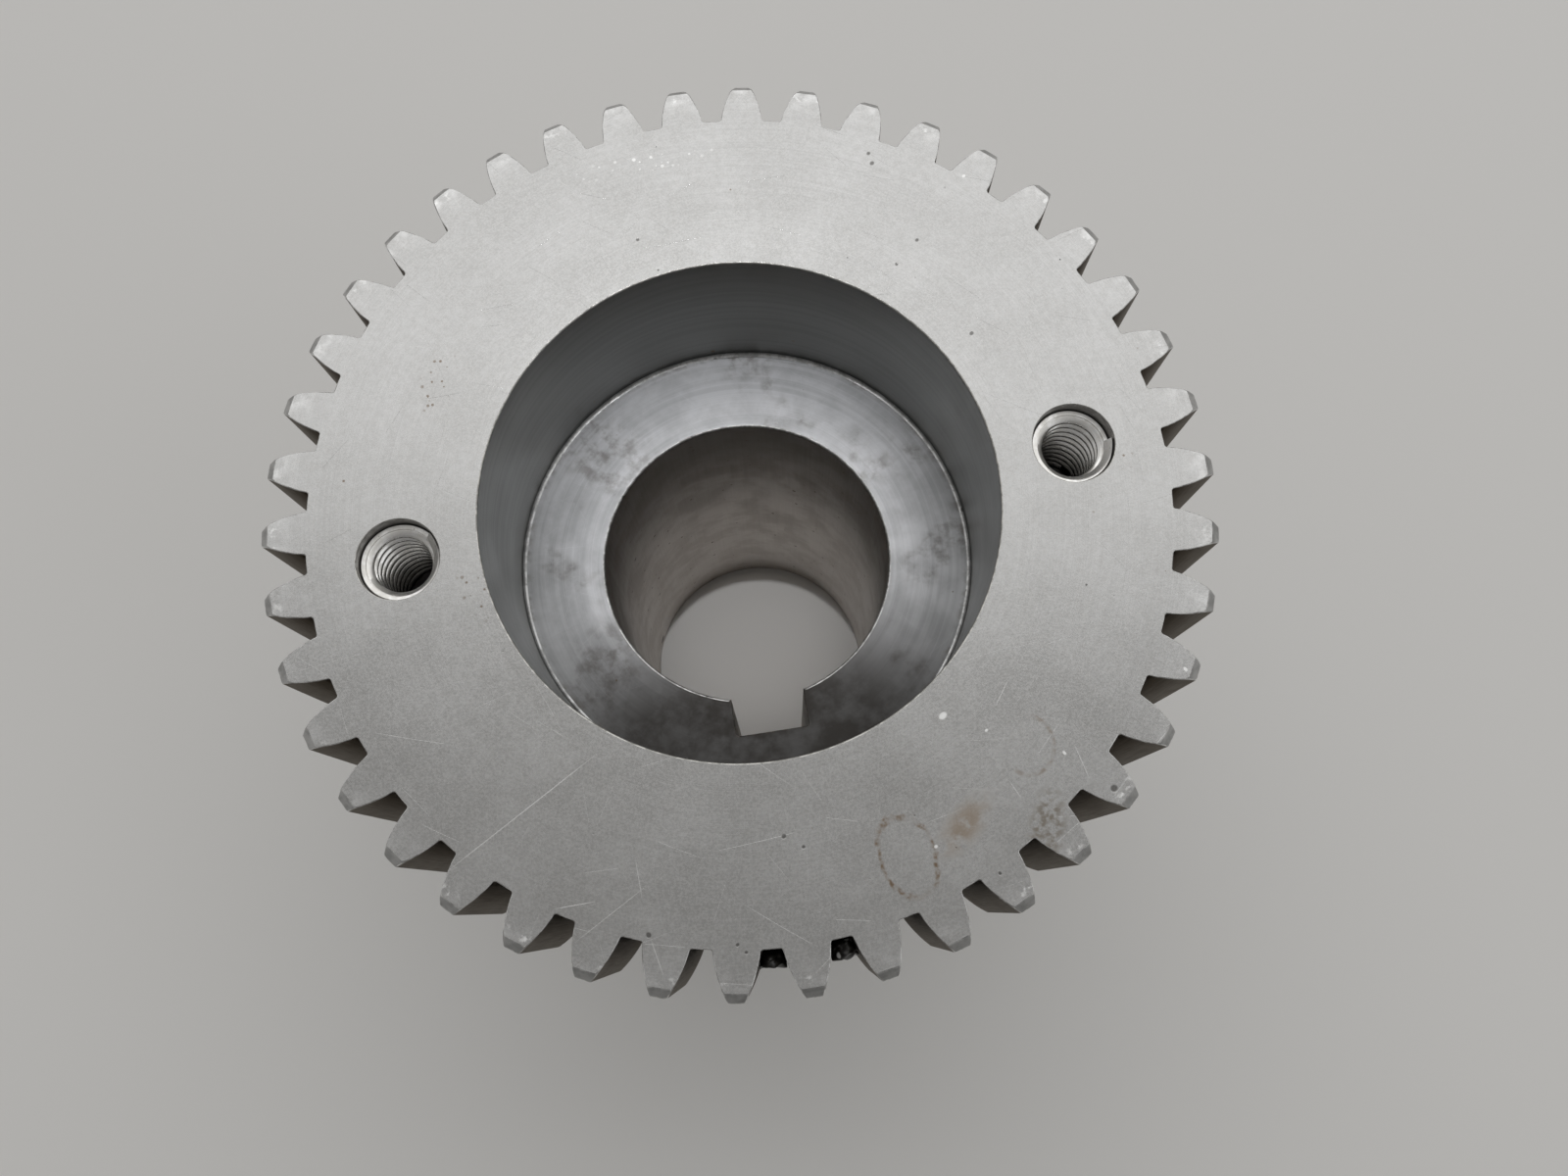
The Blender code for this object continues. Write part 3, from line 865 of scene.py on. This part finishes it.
def black_grease():
    """Wet black grease, with a few white specks painted on it as glints."""
    metal = Metal("black_grease")
    metal.shader.inputs["Metallic"].default_value = 0.0
    lumpy = metal.cloud(0.7, 4.0, 0.4)
    # Painted glints: white specks on the lump in the gap on the +X side.
    painted_glints = metal.both(metal.specks(0.8, 0.32, 0.30, 0.6), metal.ramp(metal.x, 0.0, 1.0 * MM))
    colour = metal.mix(metal.ramp(lumpy, 0.35, 0.65), (0.006, 0.0055, 0.005), (0.022, 0.020, 0.017))
    colour = metal.mix(metal.both(painted_glints, 0.9), colour, (0.70, 0.70, 0.68))
    return metal.finish(colour, metal.ramp(lumpy, 0.3, 0.7, 0.28, 0.45), lumpy, 0.08)


def recess_wall():
    """Finely turned wall of the recess: a dirty ring with painted shade above the hub sleeve, and painted
    shade towards +Y.
    """
    metal = Metal("recess_wall_steel")
    turning = metal.lines(metal.z, 0.10, 50.0)
    feed = metal.lines(metal.z, 0.9, 80.0, 2.0)
    soft = metal.cloud(7.0, 4.0, 0.9)
    # Painted shade and dirt: a dark ring in the corner just above the hub sleeve.
    dirt = metal.both(metal.ramp(metal.z, SLEEVE_TOP + 2.5 * MM, SLEEVE_TOP),
                      metal.ramp(metal.cloud(2.0, 4.0), 0.30, 0.65))
    specks = metal.both(metal.specks(2.2, 0.28, 0.35, 0.7),
                        metal.ramp(metal.z, SLEEVE_TOP + 9.0 * MM, SLEEVE_TOP + 1.0 * MM))
    colour = metal.mix(metal.ramp(soft, 0.3, 0.7), (0.225, 0.23, 0.22), (0.275, 0.28, 0.27))
    colour = metal.layers(colour, [
        (metal.ramp(turning, 0.35, 0.7), 0.20, (0.34, 0.345, 0.335)),
        (metal.ramp(feed, 0.4, 0.6), 0.18, (0.08, 0.08, 0.08)),
        (dirt, 0.2, (0.08, 0.07, 0.055)),
    ])
    # Painted shade: the wall is darkened towards +Y.
    colour = metal.mix(metal.ramp(metal.y, 8.0 * MM, 28.0 * MM, 0.0, 0.5), colour, (0.10, 0.10, 0.097))
    colour = metal.mix(metal.both(specks, 0.75), colour, BROWN)
    rough = metal.plus(metal.ramp(soft, 0.3, 0.7, 0.30, 0.40), metal.both(dirt, 0.3))
    return metal.finish(colour, rough, metal.plus(turning, metal.both(feed, 0.5)), 0.004, 0.35)


def hub_face():
    """Turned end face of the hub sleeve: rings, blotches, tarnish, a painted shadow over its lower side and
    small rust spots.
    """
    metal = Metal("hub_face_steel")
    rings = metal.lines(metal.radius, 0.09, 40.0)
    bands = metal.lines(metal.radius, 1.1, 50.0, 2.0)
    blotch = metal.cloud(4.2, 5.0, 0.15)
    grain = metal.cloud(0.25, 2.0)
    # Painted shadow: the lower side of the face is darkened nearly to black.
    painted_shadow = metal.both(metal.ramp(metal.spot(*HUB_PAINTED_SHADOW), 1.1, 0.45),
                     metal.ramp(blotch, 0.30, 0.60, 0.85, 1.0))
    rim = metal.both(metal.ramp(metal.radius, SPIGOT_RADIUS - 1.3 * MM, SPIGOT_RADIUS - 0.4 * MM),
                     metal.ramp(metal.cloud(1.6, 4.0, 0.6), 0.45, 0.65))
    side = metal.ramp(metal.cloud(10.0, 3.0, 0.55), 0.50, 0.66)
    for centre, size, turn in HUB_TARNISH:
        side = metal.either(metal.ramp(metal.spot(centre, size, turn), 1.2, 0.3), side)
    tarnish = metal.both(side, metal.ramp(metal.cloud(2.0, 6.0, 0.25), 0.40, 0.68))
    scratch = metal.either(metal.scratches(4.5, 5.5, 0.06, 0.7, 0.37),
                           metal.scratches(2.2, 2.6, 0.05, 0.6, 0.83))
    specks = metal.specks(1.9, 0.13, 0.25, 0.5)
    colour = metal.mix(metal.ramp(blotch, 0.34, 0.66), (0.46, 0.465, 0.475), (0.56, 0.565, 0.58))
    colour = metal.layers(colour, [
        (metal.ramp(rings, 0.35, 0.7), 0.30, (0.66, 0.67, 0.685)),
        (metal.ramp(bands, 0.42, 0.62), 0.20, (0.20, 0.205, 0.21)),
        (grain, 0.20, (0.50, 0.50, 0.505)),
        (scratch, 0.35, (0.70, 0.71, 0.72)),
        (tarnish, 0.55, (0.16, 0.14, 0.122)),
        (painted_shadow, 0.97, (0.045, 0.041, 0.037)),
        (rim, 0.45, (0.14, 0.12, 0.095)),
        (specks, 0.7, (0.13, 0.085, 0.05)),
    ])
    rough = metal.plus(metal.ramp(blotch, 0.3, 0.7, 0.50, 0.43), metal.both(tarnish, 0.06))
    height = metal.plus(metal.plus(rings, metal.both(bands, 0.5)), metal.both(scratch, -0.3))
    return metal.finish(colour, rough, height, 0.005)


def bore_wall():
    """Brown-tinged bore and keyway: honing marks, drag lines, rust bloom, gouges, and painted shade that
    darkens its mouth.
    """
    metal = Metal("bore_wall_steel")
    turning = metal.lines(metal.z, 0.12, 30.0)
    drag = metal.cloud(0.35, 3.0, 0.2, (1.0, 1.0, 45.0))
    bloom = metal.ramp(metal.cloud(5.0, 5.0, 0.35), 0.40, 0.62)
    specks = metal.specks(1.6, 0.25, 0.4, 0.1)
    gouge = metal.both(metal.specks(6.5, 0.8, 0.45, 0.33),
                       metal.ramp(metal.x, -10.0 * MM, -17.0 * MM))
    # Painted shade: the wall darkens towards the mouth of the bore.
    mouth = metal.ramp(metal.z, SLEEVE_TOP - 42.0 * MM, SLEEVE_TOP - 2.0 * MM)
    colour = metal.mix(metal.ramp(turning, 0.35, 0.68), (0.55, 0.51, 0.47), (0.58, 0.54, 0.50))
    colour = metal.layers(colour, [
        (metal.ramp(drag, 0.42, 0.68), 0.10, (0.64, 0.60, 0.56)),
        (mouth, 0.88, (0.065, 0.055, 0.046)),
        (bloom, 0.12, (0.24, 0.19, 0.145)),
        (specks, 0.75, (0.09, 0.05, 0.025)),
        (gouge, 0.85, (0.03, 0.027, 0.022)),
    ])
    rough = metal.plus(metal.ramp(drag, 0.3, 0.7, 0.40, 0.36), metal.both(bloom, 0.08))
    height = metal.plus(metal.plus(turning, metal.both(drag, 0.5)), metal.both(gouge, -3.0))
    return metal.finish(colour, rough, height, 0.001, 0.1)


def turned_side():
    """Turned outside of the collar and the hub: feed lines, handling stains and light rust."""
    metal = Metal("turned_side_steel")
    fine = metal.lines(metal.z, 0.09, 40.0)
    feed = metal.lines(metal.z, 0.6, 80.0, 2.0)
    soft = metal.cloud(14.0, 5.0, 0.8)
    rust = metal.both(metal.ramp(metal.cloud(11.0, 6.0, 0.2), 0.56, 0.70),
                      metal.ramp(metal.cloud(0.8, 4.0, 0.3), 0.40, 0.62))
    drag = metal.ramp(metal.cloud(0.30, 3.0, 0.5, (1.0, 1.0, 30.0)), 0.60, 0.72)
    specks = metal.specks(3.0, 0.28, 0.35, 0.6)
    colour = metal.mix(metal.ramp(soft, 0.3, 0.7), (0.36, 0.36, 0.355), (0.46, 0.46, 0.455))
    colour = metal.layers(colour, [
        (metal.ramp(fine, 0.35, 0.7), 0.35, (0.60, 0.60, 0.595)),
        (metal.ramp(feed, 0.42, 0.62), 0.22, (0.24, 0.24, 0.235)),
        (drag, 0.25, (0.68, 0.68, 0.67)),
        (rust, 0.55, (0.24, 0.15, 0.08)),
        (specks, 0.7, (0.12, 0.08, 0.05)),
    ])
    rough = metal.plus(metal.ramp(soft, 0.3, 0.7, 0.42, 0.33), metal.both(rust, 0.25))
    return metal.finish(colour, rough, metal.plus(fine, feed), 0.008, 0.35)


def drilled_wall():
    """Wall of a puller hole, with drill marks and dirt, and painted shade further down."""
    metal = Metal("drilled_wall_steel")
    marks = metal.lines(metal.z, 0.14, 10.0)
    dirt = metal.ramp(metal.cloud(1.2, 4.0), 0.35, 0.6)
    # Painted shade: the wall darkens towards the bottom of the hole.
    deep = metal.ramp(metal.z, FACE_TOP - 2.0 * MM, FACE_TOP - 9.0 * MM)
    colour = metal.mix(metal.ramp(marks, 0.35, 0.65), (0.34, 0.33, 0.32), (0.52, 0.515, 0.505))
    colour = metal.layers(colour, [
        (dirt, 0.3, (0.16, 0.14, 0.12)),
        (deep, 0.7, GRIME_AND_SHADE),
    ])
    return metal.finish(colour, metal.ramp(dirt, 0.0, 1.0, 0.36, 0.5), marks, 0.012)


def bright_coil():
    """Bright stainless of the coil inserts: satin countersink, grime and painted shade in the thread roots,
    painted shade down in the hole.
    """
    metal = Metal("bright_coil_steel")
    drawn = metal.lines(metal.z, 0.05, 2.0)
    smudge = metal.ramp(metal.cloud(1.1, 4.0, 0.3), 0.38, 0.64)
    specks = metal.specks(0.8, 0.10, 0.3, 0.2)
    cone = metal.ramp(metal.z, FACE_TOP - 2.2 * MM, FACE_TOP - 1.8 * MM)
    # Painted shade and grime: the thread roots below the countersink are darkened.
    root = metal.both(metal.ramp(metal.radius, 3.5 * MM, 3.9 * MM),
                      metal.ramp(metal.z, FACE_TOP - 1.6 * MM, FACE_TOP - 2.6 * MM))
    # Painted shade: the thread darkens further down the hole.
    deep = metal.ramp(metal.z, FACE_TOP - 7.0 * MM, FACE_TOP - 15.0 * MM)
    colour = metal.mix(smudge, (0.97, 0.965, 0.95), (0.85, 0.835, 0.80))
    colour = metal.layers(colour, [
        (metal.ramp(drawn, 0.4, 0.65), 0.18, (0.50, 0.49, 0.47)),
        (root, 0.70, (0.05, 0.043, 0.036)),
        (specks, 0.6, (0.10, 0.085, 0.06)),
        (deep, 0.75, (0.10, 0.09, 0.08)),
    ])
    rough = metal.plus(metal.ramp(smudge, 0.0, 1.0, 0.14, 0.24), metal.both(root, 0.20))
    rough = metal.plus(rough, metal.both(cone, 0.20))
    return metal.finish(colour, rough, drawn, 0.003)


# ------------ studio

VIEW_TURN = math.radians(-8.5)       # the picture's upward direction, turned from +Y
LENS = 28.76                         # millimetres, on a sensor 36 mm wide
CAMERA_PLACE = (5.73 * MM, -45.17 * MM, FACE_TOP + 136.55 * MM)
CAMERA_TARGET = (5.09 * MM, -10.41 * MM, FACE_TOP)
CAMERA_TILT = 0.0044
FLOOR_HALF = 12.0
LIGHT_RADIUS = 0.006


def in_view(right, up, height):
    """A place given by the picture's right and up directions and a height."""
    return Matrix.Rotation(VIEW_TURN, 3, "Z") @ Vector((right, up, height))


def aim(thing, target, upward):
    """Turn a camera or a light towards a place."""
    forward = (target - thing.location).normalized()
    right = forward.cross(upward).normalized()
    up = right.cross(forward)
    turn = Matrix((right, up, -forward)).transposed()
    thing.rotation_euler = turn.to_euler()


def make_camera():
    """The camera, above the toothed face and a little in front of the axis."""
    data = bpy.data.cameras.new("camera")
    data.sensor_width = 36.0
    data.lens = LENS
    data.clip_start = 0.01
    data.clip_end = 20.0
    camera = bpy.data.objects.new("camera", data)
    bpy.context.scene.collection.objects.link(camera)
    camera.location = in_view(*CAMERA_PLACE)
    aim(camera, in_view(*CAMERA_TARGET), in_view(CAMERA_TILT, 1.0, 0.0))
    bpy.context.scene.camera = camera


def make_floor():
    """Plain pale floor."""
    body = bmesh.new()
    bmesh.ops.create_grid(body, x_segments=1, y_segments=1, size=FLOOR_HALF)
    mesh = bpy.data.meshes.new("floor")
    body.to_mesh(mesh)
    body.free()
    floor = bpy.data.objects.new("floor", mesh)
    bpy.context.scene.collection.objects.link(floor)
    material = bpy.data.materials.new("pale_floor")
    material.use_nodes = True
    shader = material.node_tree.nodes["Principled BSDF"]
    shader.inputs["Base Color"].default_value = (0.80, 0.79, 0.77, 1.0)
    shader.inputs["Roughness"].default_value = 0.7
    mesh.materials.append(material)


def area_light(name, place, size, power, colour):
    """A soft rectangular light that looks at the middle of the gear."""
    data = bpy.data.lights.new(name, "AREA")
    data.shape = "RECTANGLE"
    data.size, data.size_y = size
    data.energy = power
    data.color = colour
    light = bpy.data.objects.new(name, data)
    bpy.context.scene.collection.objects.link(light)
    light.location = place
    aim(light, Vector((0.0, 0.0, 0.5 * FACE_TOP)), in_view(0.0, 0.0, 1.0))


def snoot(name, place, target, spread, power, colour):
    """A narrow light with a soft edge, for the bore or the hub."""
    data = bpy.data.lights.new(name, "SPOT")
    data.spot_size = spread
    data.spot_blend = 1.0
    data.shadow_soft_size = LIGHT_RADIUS
    data.energy = power
    data.color = colour
    light = bpy.data.objects.new(name, data)
    bpy.context.scene.collection.objects.link(light)
    light.location = place
    aim(light, target, in_view(0.0, 1.0, 0.0))


def make_room():
    """Dim surroundings, lighter beyond the gear than in front of it."""
    world = bpy.data.worlds.new("studio")
    world.use_nodes = True
    tree = world.node_tree
    direction = tree.nodes.new("ShaderNodeTexCoord").outputs["Generated"]
    away = tree.nodes.new("ShaderNodeVectorMath")
    away.operation = "DOT_PRODUCT"
    away.inputs[1].default_value = in_view(0.0, 1.0, 0.0)
    tree.links.new(direction, away.inputs[0])
    dim, bright = 0.16, 0.58
    strength = tree.nodes.new("ShaderNodeMapRange")
    for socket, value in ((1, -0.9), (2, 0.5), (3, dim), (4, bright)):
        strength.inputs[socket].default_value = value
    tree.links.new(away.outputs["Value"], strength.inputs[0])
    background = tree.nodes["Background"]
    background.inputs["Color"].default_value = (0.99, 0.98, 0.965, 1.0)
    tree.links.new(strength.outputs[0], background.inputs["Strength"])
    bpy.context.scene.world = world


def make_lights():
    """A large softbox beyond the gear, a weak one beside it, and narrow lights for the bore and the hub."""
    area_light("key", in_view(0.04, 0.62, 0.95), (1.6, 0.88), 3.1, (0.99, 0.995, 1.0))
    area_light("fill", in_view(0.9, -0.3, 0.8), (0.8, 0.8), 0.8, (0.96, 0.98, 1.0))
    bore = in_view(0.0, 3.0 * MM, SLEEVE_TOP)
    hub = in_view(-3.0 * MM, 14.0 * MM, SLEEVE_TOP)
    snoot("bore light", in_view(0.0, 0.03, 1.0), bore, math.radians(2.8), 2.2, (1.0, 0.92, 0.84))
    snoot("hub light", in_view(0.0, 0.05, 1.0), hub, math.radians(4.1), 8.2, (0.97, 0.98, 1.0))
    make_room()
    bpy.context.scene.view_settings.view_transform = "Standard"


def main():
    """Build the pieces, the studio and the camera."""
    edge = broken_edge("bright_edge_steel", (0.42, 0.415, 0.405), (0.80, 0.80, 0.79))
    rim = broken_edge("rim_edge_steel", (0.36, 0.355, 0.335), (0.60, 0.59, 0.56))
    bead = broken_edge("pressed_bead_steel", (0.40, 0.40, 0.395), (0.62, 0.62, 0.615))
    burr = broken_edge("keyway_burr_steel", (0.03, 0.027, 0.023), (0.12, 0.105, 0.09))
    side = turned_side()
    make_gear_ring([ground_face(), edge, tooth_flank(), recess_wall(), side, drilled_wall(), rim,
                    tip_bevel(), black_grease()])
    make_hub_sleeve([hub_face(), edge, bore_wall(), side, burr, bead])
    coil = bright_coil()
    for number, start in enumerate(COIL_STARTS, 1):
        make_insert(number, start, coil)
    make_floor()
    make_camera()
    make_lights()


main()
